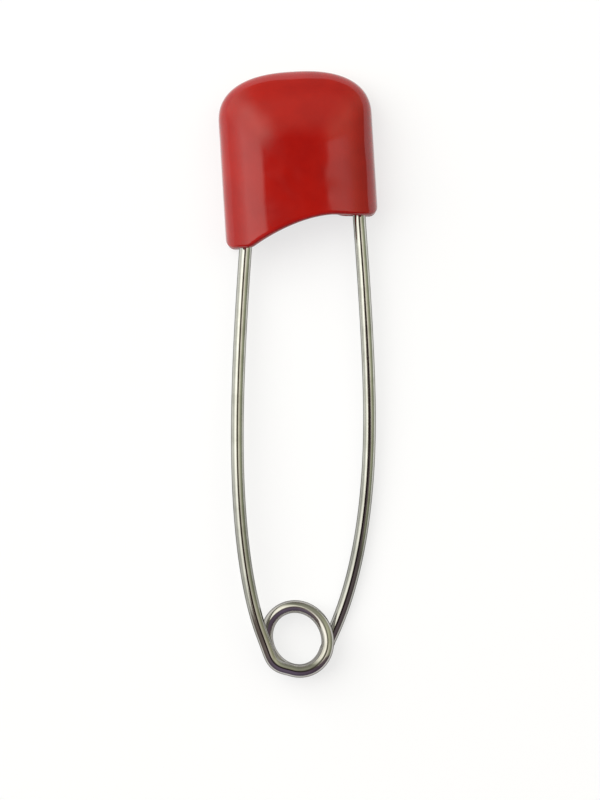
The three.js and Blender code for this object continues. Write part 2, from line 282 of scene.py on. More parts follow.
def linear(hex_colour: str) -> tuple[float, float, float, float]:
    """Turns a colour from sRGB to linear values, by the sRGB curve.

    Args:
        hex_colour: The sRGB colour, such as #ff8000.

    Returns:
        Linear red, green and blue, and an alpha of 1.
    """
    values = np.array([int(hex_colour[place:place + 2], 16) for place in (1, 3, 5)]) / 255.0
    lit = np.where(values <= 0.04045, values / 12.92, ((values + 0.055) / 1.055) ** 2.4)
    return (float(lit[0]), float(lit[1]), float(lit[2]), 1.0)


def add_node(
    tree: bpy.types.NodeTree,
    kind: str,
    links: dict[int | str, bpy.types.NodeSocket] | None = None,
    values: dict[int | str, Any] | None = None,
    **settings: Any,
) -> bpy.types.Node:
    """Adds a shader node with its settings, socket values and links.

    Args:
        tree: The node tree.
        kind: Type of the node, as Blender names it.
        links: Output sockets that feed this node's inputs, by the input's name or number.
        values: Values of this node's inputs, by name or number.
        **settings: Properties of the node itself.

    Returns:
        The node.
    """
    node = tree.nodes.new(kind)
    for name, value in settings.items():
        setattr(node, name, value)
    for key, value in (values or {}).items():
        node.inputs[key].default_value = value
    for key, socket in (links or {}).items():
        tree.links.new(socket, node.inputs[key])
    return node


def set_ramp(node: bpy.types.Node, stops: list[tuple[float, str]]) -> None:
    """Gives a colour ramp its stops.

    Args:
        node: The ramp.
        stops: Place from 0 to 1 and sRGB hex colour of each stop, in order.
    """
    elements = node.color_ramp.elements
    while len(elements) > 1:
        elements.remove(elements[-1])
    elements[0].position = stops[0][0]
    elements[0].color = linear(stops[0][1])
    for place, colour in stops[1:]:
        elements.new(place).color = linear(colour)


def new_material(name: str) -> tuple[bpy.types.Material, bpy.types.NodeTree, bpy.types.Node]:
    """Starts a material.

    Args:
        name: The finish's common name.

    Returns:
        The material, its node tree and its Principled shader, joined to the output.
    """
    material = bpy.data.materials.new(name)
    material.use_nodes = True
    tree = material.node_tree
    tree.nodes.clear()
    shader = add_node(tree, "ShaderNodeBsdfPrincipled")
    add_node(tree, "ShaderNodeOutputMaterial", links={"Surface": shader.outputs["BSDF"]})
    return material, tree, shader


def join_surface(
    tree: bpy.types.NodeTree,
    shader: bpy.types.Node,
    colour: bpy.types.NodeSocket,
    grain: bpy.types.NodeSocket,
    roughness: tuple[float, float],
    height: float,
    under: bpy.types.NodeSocket | None = None,
) -> None:
    """Joins a finish's colour to its shader, with the roughness and the relief that its grain gives.

    Args:
        tree: The material's node tree.
        shader: Its Principled shader.
        colour: The finish's colour.
        grain: A noise that the surface follows.
        roughness: Roughness where the noise is low and where it is high.
        height: Height of the grain's relief, in millimetres.
        under: Normal of a coarser relief that the grain lies on.
    """
    gloss = add_node(
        tree, "ShaderNodeMapRange", {"Value": grain},
        {
            "From Min": NOISE_SPAN[0], "From Max": NOISE_SPAN[1],
            "To Min": roughness[0], "To Max": roughness[1],
        },
    )
    links = {"Height": grain} if under is None else {"Height": grain, "Normal": under}
    relief = add_node(tree, "ShaderNodeBump", links, {"Strength": 1.0, "Distance": height * MM})
    tree.links.new(colour, shader.inputs["Base Color"])
    tree.links.new(gloss.outputs["Result"], shader.inputs["Roughness"])
    tree.links.new(relief.outputs["Normal"], shader.inputs["Normal"])


# Finishes, with their sizes in millimetres

@dataclass(frozen=True)
class MouldedPlastic:
    """Gloss moulded polystyrene: smooth from a polished mould, with a faint orange peel and slow waves
    that bend its reflections, and a pigment that isn't quite even."""

    name: str = "gloss moulded polystyrene"
    deep: str = "#95120e"
    full: str = "#a2160f"
    pigment_patch: float = 2.6
    pigment_span: tuple[float, float] = (0.35, 0.65)
    peel: float = 0.7
    peel_height: float = 0.0016
    wave: float = 2.8
    wave_height: float = 0.09
    roughness: tuple[float, float] = (0.06, 0.11)
    ior: float = 1.5

    def material(self) -> bpy.types.Material:
        """Builds the material, with its noises on Object coordinates.

        Returns:
            The material.
        """
        material, tree, shader = new_material(self.name)
        place = add_node(tree, "ShaderNodeTexCoord").outputs["Object"]
        pigment, peel, wave = (
            add_node(
                tree, "ShaderNodeTexNoise", {"Vector": place},
                {"Scale": 1 / (size * MM), "Detail": detail, "Roughness": roughness},
            ).outputs["Fac"]
            for size, detail, roughness in (
                (self.pigment_patch, 3.0, 0.55), (self.peel, 1.0, 0.4), (self.wave, 1.0, 0.3),
            )
        )
        tone = add_node(tree, "ShaderNodeValToRGB", {"Fac": pigment})
        set_ramp(tone, list(zip(self.pigment_span, (self.deep, self.full))))
        waves = add_node(
            tree, "ShaderNodeBump", {"Height": wave},
            {"Strength": 1.0, "Distance": self.wave_height * MM},
        )
        join_surface(
            tree, shader, tone.outputs["Color"], peel, self.roughness, self.peel_height,
            under=waves.outputs["Normal"],
        )
        shader.inputs["IOR"].default_value = self.ior
        return material


@dataclass(frozen=True)
class DrawnNickelWire:
    """Bright nickel plate on drawn steel wire: a mirror with fine lines along the wire, left by the
    drawing die, faint smudges, and a colour that grows darker on the coil and on the arms' last
    millimetres before it. Real drawing lines are finer, and these are as wide as they need to be to
    show.

    Each darkening tone has its distance from the coil's nearer end. The coil's ends and the whole wire's
    length are measured along the wire, from the fixed arm's cut end."""

    name: str = "bright nickel plate on drawn wire"
    bright: str = "#cbcbc4"
    dull: str = "#bdbdb5"
    tone_span: tuple[float, float] = (0.38, 0.56)
    # Multiplied into the wire's colour: it grows darker on the coil and towards it along the arms.
    coil_darkening: Stops = (
        (18.0, "#ffffff"), (13.0, "#f9f9f9"), (10.5, "#e9e9e9"), (8.0, "#e3e3e3"),
        (6.0, "#d8d8d8"), (3.0, "#e0e0e0"), (-1.0, "#f2eff2"),
    )
    # Edge tint near black, far darker than real nickel's: painted shade on the wire's grazing edges.
    edge: str = "#1d1d1b"
    wire_radius: float = 0.44
    line_width: float = 0.07
    line_length: float = 5.0
    smudge: float = 1.6
    line_height: float = 0.0005
    roughness: tuple[float, float] = (0.05, 0.13)
    coil_run: tuple[float, float] = (37.0, 58.0)
    wire_run: float = 94.0

    def material(self) -> bpy.types.Material:
        """Builds the material. It reads the wire's own map: millimetres along it, turns round it.

        Returns:
            The material.
        """
        material, tree, shader = new_material(self.name)
        place = add_node(tree, "ShaderNodeUVMap", uv_map="surface").outputs["UV"]
        split = add_node(tree, "ShaderNodeSeparateXYZ", {"Vector": place}).outputs
        turn = add_node(
            tree, "ShaderNodeMath", {0: split["Y"]}, {1: 2 * math.pi}, operation="MULTIPLY",
        ).outputs["Value"]
        side, rise = (
            add_node(tree, "ShaderNodeMath", {0: turn}, operation=operation).outputs["Value"]
            for operation in ("COSINE", "SINE")
        )
        skin = add_node(tree, "ShaderNodeCombineXYZ", {"X": split["X"], "Y": side, "Z": rise})
        grains = []
        for width, length, detail in (
            (self.line_width, self.line_length, 3.0), (self.smudge, self.smudge, 4.0),
        ):
            around = self.wire_radius / width
            drawn = add_node(
                tree, "ShaderNodeMapping", {"Vector": skin.outputs["Vector"]},
                {"Scale": (1 / length, around, around)}, vector_type="POINT",
            )
            noise = add_node(
                tree, "ShaderNodeTexNoise", {"Vector": drawn.outputs["Vector"]},
                {"Scale": 1.0, "Detail": detail, "Roughness": FINE_LAYERS},
            )
            grains.append(noise.outputs["Fac"])
        lines, smudges = grains
        tone = add_node(tree, "ShaderNodeValToRGB", {"Fac": smudges})
        set_ramp(tone, list(zip(self.tone_span, (self.dull, self.bright))))
        start, end = self.coil_run
        stops = [(start - away, shade) for away, shade in self.coil_darkening]
        stops += [(end + away, shade) for away, shade in reversed(self.coil_darkening)]
        share = add_node(
            tree, "ShaderNodeMath", {0: split["X"]}, {1: self.wire_run}, operation="DIVIDE",
        )
        # The darkening towards the coil, by the length along the wire.
        coil_darkening = add_node(tree, "ShaderNodeValToRGB", {"Fac": share.outputs["Value"]})
        set_ramp(coil_darkening, [(run / self.wire_run, shade) for run, shade in stops])
        colour = add_node(
            tree, "ShaderNodeMix", {6: tone.outputs["Color"], 7: coil_darkening.outputs["Color"]},
            {0: 1.0}, data_type="RGBA", blend_type="MULTIPLY",
        )
        join_surface(tree, shader, colour.outputs[2], lines, self.roughness, self.line_height)
        shader.inputs["Metallic"].default_value = 1.0
        # Painted shade: the near-black edge tint darkens the wire's grazing reflections.
        shader.inputs["Specular Tint"].default_value = linear(self.edge)
        return material


@dataclass(frozen=True)
class StampedNickelSheet:
    """Satin nickel plate on stamped steel sheet: softer than the wire, with fine lines up the head from
    its rolling and dull patches where the folding tools pressed. Real rolling lines are finer, and
    these are as wide as they need to be to show."""

    name: str = "satin nickel plate on stamped sheet"
    bright: str = "#c4c1b8"
    dull: str = "#a9a69d"
    tone_span: tuple[float, float] = (0.38, 0.6)
    line_width: float = 0.06
    line_length: float = 3.5
    patch: float = 1.8
    line_height: float = 0.0015
    roughness: tuple[float, float] = (0.24, 0.4)

    def material(self) -> bpy.types.Material:
        """Builds the material, with its noises on Object coordinates.

        Returns:
            The material.
        """
        material, tree, shader = new_material(self.name)
        place = add_node(tree, "ShaderNodeTexCoord").outputs["Object"]
        width, length = self.line_width * MM, self.line_length * MM
        rolled = add_node(
            tree, "ShaderNodeMapping", {"Vector": place},
            {"Scale": (1 / width, 1 / length, 1 / width)}, vector_type="POINT",
        )
        lines = add_node(
            tree, "ShaderNodeTexNoise", {"Vector": rolled.outputs["Vector"]},
            {"Scale": 1.0, "Detail": 3.0, "Roughness": FINE_LAYERS},
        )
        patches = add_node(
            tree, "ShaderNodeTexNoise", {"Vector": place},
            {"Scale": 1 / (self.patch * MM), "Detail": 4.0, "Roughness": FINE_LAYERS},
        )
        tone = add_node(tree, "ShaderNodeValToRGB", {"Fac": patches.outputs["Fac"]})
        set_ramp(tone, list(zip(self.tone_span, (self.dull, self.bright))))
        join_surface(
            tree, shader, tone.outputs["Color"], lines.outputs["Fac"], self.roughness, self.line_height,
        )
        shader.inputs["Metallic"].default_value = 1.0
        return material


@dataclass(frozen=True)
class WhitePaper:
    """Matt white paper under the pin. The camera sees it white, and so do the metal and the gloss that
    mirror it, and the pin's soft shadow stays on it. Real fibres are finer than these."""

    name: str = "matt white paper"
    colour: str = "#f4f4f4"
    fibre: float = 0.9
    fibre_height: float = 0.01
    fibre_strength: float = 0.3
    roughness: float = 0.95
    lift: float = 0.7

    def material(self) -> bpy.types.Material:
        """Builds the material: lit paper, with a share of white light for the rays that see it.

        Returns:
            The material.
        """
        material, tree, shader = new_material(self.name)
        place = add_node(tree, "ShaderNodeTexCoord").outputs["Object"]
        fibres = add_node(
            tree, "ShaderNodeTexNoise", {"Vector": place},
            {"Scale": 1 / (self.fibre * MM), "Detail": 5.0, "Roughness": FINE_LAYERS},
        )
        bump = add_node(
            tree, "ShaderNodeBump", {"Height": fibres.outputs["Fac"]},
            {"Strength": self.fibre_strength, "Distance": self.fibre_height * MM},
        )
        tree.links.new(bump.outputs["Normal"], shader.inputs["Normal"])
        shader.inputs["Base Color"].default_value = linear(self.colour)
        shader.inputs["Roughness"].default_value = self.roughness
        rays = add_node(tree, "ShaderNodeLightPath").outputs
        seen = rays["Is Camera Ray"]
        for ray in ("Is Glossy Ray", "Is Transmission Ray"):
            either = add_node(tree, "ShaderNodeMath", {0: seen, 1: rays[ray]}, operation="MAXIMUM")
            seen = either.outputs["Value"]
        lift = add_node(tree, "ShaderNodeMath", {0: seen}, {1: self.lift}, operation="MULTIPLY")
        white = add_node(tree, "ShaderNodeEmission", values={"Strength": 1.0})
        mixed = add_node(
            tree, "ShaderNodeMixShader",
            {"Fac": lift.outputs["Value"], 1: shader.outputs["BSDF"], 2: white.outputs["Emission"]},
        )
        output = next(node for node in tree.nodes if node.type == "OUTPUT_MATERIAL")
        tree.links.new(mixed.outputs["Shader"], output.inputs["Surface"])
        return material


# The pin's shared sizes

@dataclass(frozen=True)
class PinSizes:
    """Sizes that more than one piece of the pin follows, in millimetres."""

    coil_axis: tuple[float, float, float]
    overall_length: float = 42.0
    head_tilt: float = 3.5
    head_shift: float = 0.386
    wire_diameter: float = 0.88
    coil_radius: float = 2.14
    coil_oval: float = 0.115
    cap_width: float = 10.63
    cap_back_drop: float = 1.4
    cap_side_wall: float = 0.5
    long_skirt: float = 12.03
    short_skirt: float = 10.11
    spine_skirt: float = 10.31
    skirt_foot: float = 1.62
    pin_foot_corner: float = 0.55
    spine_foot_corner: float = 0.5
    arch_peak_inset: float = 3.03
    arch_foot_shares: tuple[float, float] = (0.315, 0.57)
    arch_peak_share: float = 0.315
    sheet: float = 0.3
    sheet_gap: float = 0.03
    wire_gap: float = 0.03
    guard_depth: float = 3.3
    guard_recess: float = 0.75
    arch_samples: int = 400
    foot_samples: int = 60

    @property
    def wire_radius(self) -> float:
        """Radius of the wire."""
        return self.wire_diameter / 2

    @property
    def half_width(self) -> float:
        """Half the width of the cap."""
        return self.cap_width / 2

    @property
    def fold_radius(self) -> float:
        """Radius of the guard's folds, to the middle of the sheet."""
        return self.wire_radius + self.wire_gap + self.sheet / 2

    @property
    def arm_offset(self) -> float:
        """How far each arm runs beside the middle of the head."""
        return self.half_width - self.cap_side_wall - self.sheet_gap - self.sheet / 2 - self.fold_radius

    def in_head(self, across: np.ndarray, down: np.ndarray, out: np.ndarray) -> np.ndarray:
        """Turns places in the head by its tilt, and moves them to its crown.

        Args:
            across: Towards the fixed arm.
            down: Below the crown.
            out: Out of the front, from the middle plane of the wire.

        Returns:
            Places in the frame, with the coordinates as the last axis.
        """
        tilt = math.radians(self.head_tilt)
        across, down, out = np.broadcast_arrays(across, down, out)
        rise = self.overall_length - self.coil_radius - self.coil_oval - self.wire_radius
        x = across * math.cos(tilt) + down * math.sin(tilt) - self.head_shift
        y = across * math.sin(tilt) - down * math.cos(tilt) + rise
        return np.stack([x, y, out], axis=-1) + np.array(self.coil_axis)

    def head_direction(self, lean: float = 0.0) -> np.ndarray:
        """Direction up the head, turned back by a lean in degrees."""
        angle = math.radians(self.head_tilt - lean)
        return np.array([-math.sin(angle), math.cos(angle), 0.0])

    def skirt_depth(self, across: np.ndarray) -> np.ndarray:
        """Depth of the cap's lower edge below the crown, at places across it.

        The edge is a round corner, a level foot, an S-shaped rise to the top of the arch, a straight
        fall to the far side and a round corner.

        Args:
            across: Places across the head.

        Returns:
            The depth at each.
        """
        foot = -self.half_width + self.skirt_foot
        peak = self.half_width - self.arch_peak_inset
        width, rise = peak - foot, self.long_skirt - self.short_skirt
        arch = bezier(np.array([
            (foot, self.long_skirt),
            (foot + width * self.arch_foot_shares[0], self.long_skirt - rise * self.arch_foot_shares[1]),
            (peak - width * self.arch_peak_share, self.short_skirt),
            (peak, self.short_skirt),
        ]), self.arch_samples)
        turn = np.linspace(0.0, 1.0, self.foot_samples)
        pin_corner = np.stack([
            -self.half_width + self.pin_foot_corner * turn ** 2,
            self.long_skirt - self.pin_foot_corner * (1 - turn) ** 2,
        ], axis=1)
        spine_corner = np.stack([
            self.half_width - self.spine_foot_corner * turn ** 2,
            self.spine_skirt - self.spine_foot_corner * (1 - turn) ** 2,
        ], axis=1)[::-1]
        edge = np.concatenate([pin_corner, arch, spine_corner])
        return np.interp(across, edge[:, 0], edge[:, 1])


# The wire

@dataclass
class SpringWire:
    """One drawn wire: the fixed arm, the spring coil and the sharpened arm, in one unbroken piece."""

    pin: PinSizes
    coil_oval_degrees: float = 114.0
    coil_start_degrees: float = 199.0
    coil_end_degrees: float = 693.0
    coil_bend_degrees: float = 60.0
    entry_stand_off: float = 0.175
    entry_bulge: float = 0.14
    exit_draw_in: float = 0.06
    back_spread: float = 0.1
    back_spread_degrees: tuple[float, float] = (420.0, 655.0)
    turn_gap: float = 0.4
    eased_lift_share: float = 0.97
    pin_bow: tuple[float, float] = (-4.198, 14.1)
    spine_bow: tuple[float, float] = (4.97, 15.2)
    pin_lean: float = 7.7
    mouth_gap: float = 0.24
    pin_bow_shares: tuple[float, float, float, float] = (0.05, 0.69, 0.36, 0.206)
    spine_bow_shares: tuple[float, float, float, float] = (0.05, 0.67, 0.36, 0.04)
    point_depth: float = 3.2
    taper_length: float = 5.2
    tip_radius: float = 0.03
    point_fullness: float = 1.7
    spine_end_depth: float = 3.0
    cut_edge: float = 0.07
    spacing: float = 0.115
    sides: int = 48
    fine: int = 1200
    end_steps: int = 6
    bend_zone: tuple[float, float] = (-2.9, 3.4)

    def coil_line(self) -> np.ndarray:
        """Centre line of the coil, from the fixed arm's end to the pin arm's end.

        The angle runs evenly between the coil's ends. The reach from the axis is a radius, plus an oval
        of twice the angle, a bulge and a stand-off over the pin arm's first bend and a hump where the
        wire passes behind its start, less a draw-in over the fixed arm's last bend. The height eases
        from front to back against the angle.

        Returns:
            One point a row, from the coil's axis in the plane of the wire.
        """
        pin = self.pin
        share = np.linspace(0.0, 1.0, self.fine)
        degrees = self.coil_start_degrees + (self.coil_end_degrees - self.coil_start_degrees) * share
        entered = np.minimum((degrees - self.coil_start_degrees) / self.coil_bend_degrees, 1.0)
        leaving = np.minimum((self.coil_end_degrees - degrees) / self.coil_bend_degrees, 1.0)
        reach = (
            pin.coil_radius
            + pin.coil_oval * np.cos(2 * np.radians(degrees - self.coil_oval_degrees))
            + self.entry_bulge * hump(entered, 0.0, 1.0)
            + self.back_spread * hump(degrees, *self.back_spread_degrees)
            + self.entry_stand_off * (1 - ease(entered))
            - self.exit_draw_in * (1 - ease(leaving))
        )
        turns = (self.coil_end_degrees - self.coil_start_degrees) / FULL_TURN
        lift = (pin.wire_diameter + self.turn_gap) * self.eased_lift_share * turns
        middle = (lift + pin.wire_diameter) / 2 - pin.cap_back_drop
        angle = np.radians(degrees)
        height = middle + lift * (0.5 - ease(share))
        return np.stack([reach * np.cos(angle), reach * np.sin(angle), height], axis=1)[::-1]

    def arm_line(
        self,
        join: np.ndarray,
        leaving: np.ndarray,
        bow: tuple[float, float],
        mouth: np.ndarray,
        entering: np.ndarray,
        shares: tuple[float, float, float, float],
    ) -> np.ndarray:
        """Centre line of an arm: two cubic curves that meet at its widest point, where it runs along +Y.

        Its height goes from the coil's to the head's by the same ease as the coil's.

        Args:
            join: Where it leaves the coil's straight lead.
            leaving: Direction there.
            bow: Its widest point, from the coil's axis.
            mouth: Where it enters the head.
            entering: Direction there.
            shares: Handles, as shares of the height below or above the widest point.

        Returns:
            Points at even lengths, from the coil to the mouth.
        """
        start = np.array([join[0], join[1], 0.0])
        widest = np.array([*bow, 0.0])
        along = np.array([0.0, 1.0, 0.0])
        lower, upper = widest[1] - start[1], mouth[1] - widest[1]
        below = bezier(np.array([
            start,
            start + leaving * lower * shares[0],
            widest - along * lower * shares[1],
            widest,
        ]), self.fine)
        above = bezier(np.array([
            widest,
            widest + along * upper * shares[2],
            mouth - entering * upper * shares[3],
            mouth,
        ]), self.fine)
        line = np.concatenate([below, above[1:]])
        share = np.linspace(0.0, 1.0, self.fine)
        even = at_lengths(line, share * run_lengths(line)[-1])
        even[:, 2] = join[2] * (1 - ease(share))
        return even

    def centre_line(self) -> np.ndarray:
        """Centre line of the whole wire: the fixed arm, the coil and the pin arm, with straight ends.

        Returns:
            One point a row, from the fixed arm's cut end to the point.
        """
        pin = self.pin
        origin = np.array(pin.coil_axis)
        coil = self.coil_line()
        leads = []
        for end, inner in ((coil[0], coil[1]), (coil[-1], coil[-2])):
            outward = (end - inner) * np.array([1.0, 1.0, 0.0])
            outward /= np.linalg.norm(outward)
            leads.append((end + outward * pin.wire_diameter, outward))
        (spine_join, spine_leaving), (pin_join, pin_leaving) = leads
        spine_mouth = pin.in_head(pin.arm_offset, pin.spine_skirt + self.mouth_gap, 0.0) - origin
        pin_mouth = pin.in_head(-pin.arm_offset, pin.long_skirt + self.mouth_gap, 0.0) - origin
        spine = self.arm_line(
            spine_join, spine_leaving, self.spine_bow, spine_mouth, pin.head_direction(),
            self.spine_bow_shares,
        )
        arm = self.arm_line(
            pin_join, pin_leaving, self.pin_bow, pin_mouth, pin.head_direction(self.pin_lean),
            self.pin_bow_shares,
        )
        spine_end = pin.in_head(pin.arm_offset, self.spine_end_depth, 0.0) - origin
        depth = pin.long_skirt + self.mouth_gap - self.point_depth
        inside = depth / math.cos(math.radians(self.pin_lean))
        point = pin_mouth + pin.head_direction(self.pin_lean) * inside
        return np.concatenate([spine_end[None], spine[::-1], coil, arm, point[None]]) + origin

    def stations(self, length: float) -> tuple[np.ndarray, np.ndarray]:
        """Places along the wire and its radius at each.

        The cut end's edge and the tip are quarter circles. The taper's radius runs from the wire's to
        the tip's by a power of the share of the taper that has passed.

        Args:
            length: Length of the centre line.

        Returns:
            Lengths from the cut end, and radii.
        """
        radius = self.pin.wire_radius
        turn = quarter(self.end_steps)
        cut = self.cut_edge * (1 - np.cos(turn))
        cut_radii = radius - self.cut_edge * (1 - np.sin(turn))
        tip = length - self.tip_radius * (1 - np.sin(turn[1:-1]))
        tip_radii = self.tip_radius * np.cos(turn[1:-1])
        count = int(round((length - self.cut_edge - self.tip_radius) / self.spacing))
        even = np.linspace(self.cut_edge, length - self.tip_radius, count)[1:]
        passed = np.clip((even - (length - self.taper_length)) / self.taper_length, 0.0, 1.0)
        radii = radius + (self.tip_radius - radius) * passed ** self.point_fullness
        return np.concatenate([cut, even, tip]), np.concatenate([cut_radii, radii, tip_radii])

    def build(self) -> bpy.types.Object:
        """Makes the wire: a circle of the station's radius carried square to the centre line.

        Returns:
            The wire, mapped in millimetres along it and turns round it from its underside.
        """
        line = self.centre_line()
        length = run_lengths(line)[-1]
        places, radii = self.stations(length)
        centres = at_lengths(line, places)
        direction = np.gradient(centres, places, axis=0)
        direction /= np.linalg.norm(direction, axis=1, keepdims=True)
        side = np.cross(direction, [0.0, 0.0, 1.0])
        side /= np.linalg.norm(side, axis=1, keepdims=True)
        rise = np.cross(side, direction)
        turn = np.linspace(0.0, 1.0, self.sides + 1)
        angle = 2 * np.pi * turn[:-1] - np.pi / 2
        rings = centres[:, None] + radii[:, None, None] * (
            side[:, None] * np.cos(angle)[:, None] + rise[:, None] * np.sin(angle)[:, None]
        )
        hubs = np.stack([centres[0], line[-1]])
        return surface_mesh("spring_wire", rings, hubs, (places, turn))

    def dress(self, piece: bpy.types.Object, finish: DrawnNickelWire) -> None:
        """Gives the wire its finish, hides the imported arms and coil, and bakes its place into its mesh.

        Args:
            piece: The wire.
            finish: Its finish.
        """
        piece.data.materials.append(finish.material())
        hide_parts("spine_arm", "spring_coil", "pin_arm")
        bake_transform(piece)


# The head cap

@dataclass
class HeadCap:
    """The moulded cap: one shell with a domed front, a flat back, a rounded crown, an arched lower edge
    and a window in its back."""

    pin: PinSizes
    front_rise: float = 3.0
    front_wall: float = 0.7
    back_wall: float = 0.5
    crown_wall: float = 0.8
    back_corner: float = 0.8
    crown_height: float = 3.35
    crown_front_height: float = 5.4
    crown_back_height: float = 1.2
    ridge_rise: float = 0.5
    crown_roundness: float = 2.45
    crown_front_roundness: float = 2.0
    front_roundness: float = 2.8
    window_depth: float = 2.5
    window_pin_inset: float = 1.55
    window_spine_inset: float = 3.55
    window_corner: float = 1.1
    window_pin_foot: float = 0.55
    window_spine_foot: float = 1.5
    rim: float = 0.22
    edge_round: float = 0.36
    rib_width: float = 0.6
    rib_inset: float = 3.4
    rib_top: float = 0.5
    rib_edge: float = 0.07
    fan_depth: float = 2.0
    fan_width: float = 1.6
    sample: float = 0.01
    front_samples: int = 4001
    side_samples: int = 200
    corner_samples: int = 300
    floor_samples: int = 1001
    window_corner_samples: int = 60
    window_foot_samples: tuple[int, int] = (40, 80)
    columns: int = 420
    dome_rings: int = 40
    wall_rings: int = 64
    rim_rings: int = 12
    inner_step: int = 2
    rib_rings: int = 70
    rib_corner_steps: int = 5
    least_opening: float = 0.001

    def section(self, inner: bool) -> np.ndarray:
        """Section across the head, from the fixed arm's side over the front and round the back.

        The front is a superellipse: half the width times the cosine, and the rise times the sine, each
        to the power of two over the roundness. The back is flat, with quarter circles at its corners.

        Args:
            inner: Whether to draw it in by the walls.

        Returns:
            Across and out, one point a row, with the same number of points for both skins.
        """
        half = self.pin.half_width - (self.pin.cap_side_wall if inner else 0.0)
        front = self.front_rise - (self.front_wall if inner else 0.0)
        back = self.pin.cap_back_drop - (self.back_wall if inner else 0.0)
        corner = self.back_corner - (self.back_wall if inner else 0.0)
        angle = np.radians(np.linspace(0.0, 180.0, self.front_samples))
        power = 2 / self.front_roundness
        bowed = np.stack([
            half * np.sign(np.cos(angle)) * np.abs(np.cos(angle)) ** power,
            front * np.abs(np.sin(angle)) ** power,
        ], axis=1)
        flat = half - corner
        side = np.linspace([-half, 0.0], [-half, corner - back], self.side_samples)[1:]
        pin_corner = arc((-flat, corner - back), corner, 180.0, 270.0, self.corner_samples)[1:]
        floor = np.linspace([-flat, -back], [flat, -back], self.floor_samples)[1:]
        spine_corner = arc((flat, corner - back), corner, 270.0, 360.0, self.corner_samples)[1:]
        far_side = np.linspace([half, corner - back], [half, 0.0], self.side_samples)[1:]
        return np.concatenate([bowed, side, pin_corner, floor, spine_corner, far_side])

    def opened(self, depth: np.ndarray, height: float, roundness: float) -> np.ndarray:
        """How far the crown's round has opened: one less the share left to a power, to its root."""
        rest = np.clip(1 - depth / height, 0.0, 1.0)
        return (1 - rest ** roundness) ** (1 / roundness)

    def risen(self, depth: np.ndarray, rise: np.ndarray, top: float) -> np.ndarray:
        """How far out of the ridge a skin has come at a depth below its top.

        Args:
            depth: Depth below the skin's top.
            rise: Full rise of the section over the ridge there, negative towards the back.
            top: Depth of the skin's top below the crown.

        Returns:
            Places out of the front.
        """
        front = self.opened(depth, self.crown_front_height - top, self.crown_front_roundness)
        back = self.opened(depth, self.crown_back_height - top / 2, self.crown_roundness)
        return self.ridge_rise + rise * np.where(rise > 0, front, back)

    def wall(self, turn: np.ndarray, depth: np.ndarray, share: np.ndarray | float) -> np.ndarray:
        """Points in the wall, between the outer and the inner skin.

        On a skin, the section is drawn in to the ridge by how far the crown's round has opened. The
        inner skin's crown lies lower by the crown's wall, and from the window's top down both skins
        are paired at one depth.

        Args:
            turn: Length round the outer section.
            depth: Depth below the crown.
            share: 0 on the outer skin and 1 on the inner skin.

        Returns:
            Places in the frame.
        """
        outer, inner = self.section(False), self.section(True)
        runs = run_lengths(outer)
        turn = np.mod(turn, runs[-1])
        skins = []
        for section, top in ((outer, 0.0), (inner, self.crown_wall)):
            x, z = (np.interp(turn, runs, column) for column in section.T)
            down = np.where(depth < self.fan_depth, top + depth * (1 - top / self.fan_depth), depth)
            across = x * self.opened(down - top, self.crown_height - top, self.crown_roundness)
            out = self.risen(down - top, z - self.ridge_rise, top)
            skins.append(np.stack([across, down, out], axis=-1))
        mixed = skins[0] + (skins[1] - skins[0]) * np.asarray(share)[..., None]
        return self.pin.in_head(mixed[..., 0], mixed[..., 1], mixed[..., 2])

    def lower_edge(self) -> tuple[np.ndarray, np.ndarray, np.ndarray]:
        """The shell's one lower edge in the unrolled wall, with the window's edge in it.

        It follows the skirt from the fixed arm's side over the front and the pin's side to the window,
        goes up, over and down the window with a round at each corner, and back along the skirt. A
        running mean softens what is left of the corners.

        Returns:
            Places (length round, depth) at even lengths, the directions into the material, and the
            lengths round at which the wall's columns start at the fan's depth.
        """
        outer = self.section(False)
        runs = run_lengths(outer)
        flank, far_flank = runs[self.front_samples - 1], runs[-1]
        middle = (flank + far_flank) / 2
        pin_side = middle - self.pin.half_width + self.window_pin_inset
        spine_side = middle + self.pin.half_width - self.window_spine_inset
        skirt = []
        for start, end in (
            (0.0, pin_side - self.window_pin_foot), (spine_side + self.window_spine_foot, far_flank),
        ):
            turn = np.linspace(start, end, int((end - start) / self.sample))
            skirt.append(np.stack([turn, self.pin.skirt_depth(np.interp(turn, runs, outer[:, 0]))], axis=1))
        pin_foot, spine_foot = skirt[0][-1], skirt[1][0]
        top, corner_radius = self.window_depth + self.window_corner, self.window_corner
        pin_steps, spine_steps = self.window_foot_samples
        pin_curve = corner_curve(
            pin_foot, (pin_side, pin_foot[1]), (pin_side, pin_foot[1] - self.window_pin_foot),
            pin_steps,
        )[1:]
        head = np.concatenate([
            arc((centre, top), corner_radius, start, start + 90.0, self.window_corner_samples)
            for centre, start in ((pin_side + corner_radius, 180.0), (spine_side - corner_radius, 270.0))
        ])
        spine_curve = corner_curve(
            (spine_side, spine_foot[1] - self.window_spine_foot),
            (spine_side, self.pin.skirt_depth(spine_side - middle)), spine_foot, spine_steps,
        )[:-1]
        loop = np.concatenate([skirt[0], pin_curve, head, spine_curve, skirt[1]])
        knots = run_lengths(loop)
        counts = np.cumsum([len(skirt[0]), len(pin_curve), len(head), len(spine_curve)])
        corner, near_top = knots[counts[0] - 1], knots[counts[1]]
        far_top, far_corner = knots[counts[2] - 1], knots[counts[3]]
        near_flank = np.interp(flank, skirt[0][:, 0], knots[:counts[0]])
        count = int(knots[-1] / self.sample)
        even = np.arange(count) * knots[-1] / count
        starts = np.interp(
            even,
            [0.0, near_flank, corner, near_top, far_top, far_corner, knots[-1]],
            [0.0, flank, pin_side - self.fan_width, pin_side, spine_side, spine_side + self.fan_width,
             far_flank],
        )
        drift = even * far_flank / knots[-1]
        width = int(self.edge_round / self.sample) | 1
